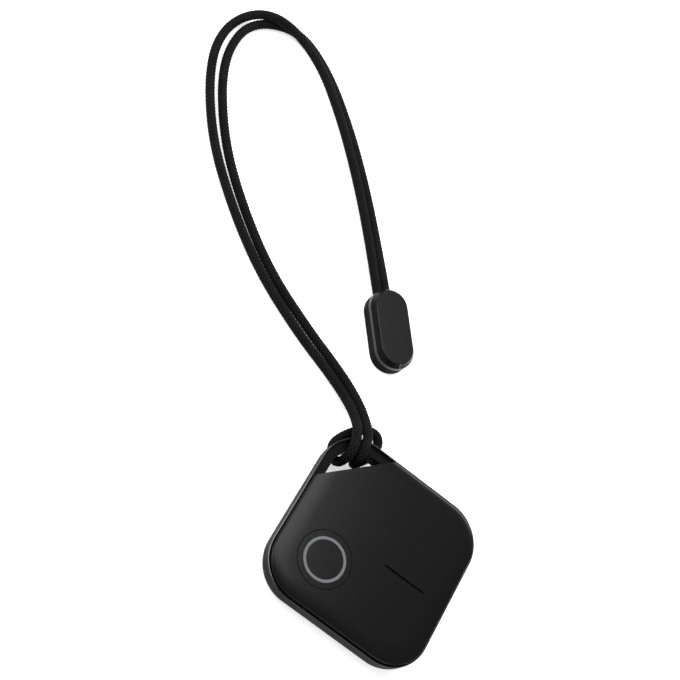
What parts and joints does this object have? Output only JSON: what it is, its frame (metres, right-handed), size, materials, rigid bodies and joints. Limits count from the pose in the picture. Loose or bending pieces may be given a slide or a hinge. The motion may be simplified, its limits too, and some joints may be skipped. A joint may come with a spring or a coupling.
{
  "type": "bluetooth tracker tag",
  "caption": "Flat rounded-square tracker tag with a press button, a coin cell behind a twist-off back door, and a braided wrist lanyard hitched through the corner.",
  "frame": {"origin": "middle of the square body's back face, on the surface the tag lies on", "axes": "+Z out of the front cover; X and Y along the sides of the square body, with the lanyard corner towards +X +Y and the lanyard lying on that side"},
  "size_m": [0.1139, 0.1072, 0.0086],
  "materials": {
    "gloss_shell": "polished black",
    "soft_cover": "soft-touch matt black",
    "mark_grey": "printed satin grey",
    "seal_rubber": "matt",
    "steel": "satin",
    "spring_metal": "plated spring strip",
    "brass": "bright",
    "board_green": "solder resist",
    "board_black": "moulded",
    "ceramic_white": "fired ceramic",
    "cord_braid": "fine braided black",
    "gloss_end": "satin black, bright bevel",
    "matt_end": "matt black"
  },
  "bodies": {
    "housing": {"rear_shell": "gloss_shell", "front_cover": "soft_cover", "cover_gasket": "seal_rubber", "switch_body": "steel", "coin_cell": "steel", "battery_frame": "board_black", "positive_contact": "spring_metal", "negative_contact": "spring_metal", "circuit_board": "board_green", "board_screws": "steel", "radio_shield": "steel", "radio_chip": "board_black", "crystal": "steel", "antenna": "ceramic_white", "board_parts": "ceramic_white", "sounder_plate": "brass", "sounder_ceramic": "ceramic_white", "sounder_gasket": "seal_rubber", "slit_mesh": "seal_rubber", "sounder_springs": "spring_metal", "cord_near": "cord_braid", "cord_hitch": "cord_braid", "cord_far": "cord_braid", "end_piece_front": "gloss_end", "end_piece_back": "matt_end", "cord_crimp": "steel"},
    "button": {"function_button": "soft_cover", "button_ring": "mark_grey"},
    "plunger": {"switch_plunger": "board_black"},
    "door": {"battery_door": "gloss_shell", "door_seal": "seal_rubber", "door_pad": "seal_rubber"}
  },
  "joints": [
    {"name": "button_press", "type": "slide", "parent": "housing", "child": "button", "axis": [0, 0, -1], "range_m": [0, 0.00025], "stiffness_N_per_m": 8000},
    {"name": "plunger_press", "type": "slide", "parent": "housing", "child": "plunger", "axis": [0, 0, -1], "range_m": [0, 0.00025]},
    {"name": "door_twist", "type": "hinge", "parent": "housing", "child": "door", "pos_m": [-0.0024, -0.0024, 0], "axis": [0, 0, 1], "range_deg": [-40, 0]}
  ],
  "couplings": [
    {"joint": "plunger_press", "follows": "button_press", "ratio": 1}
  ]
}
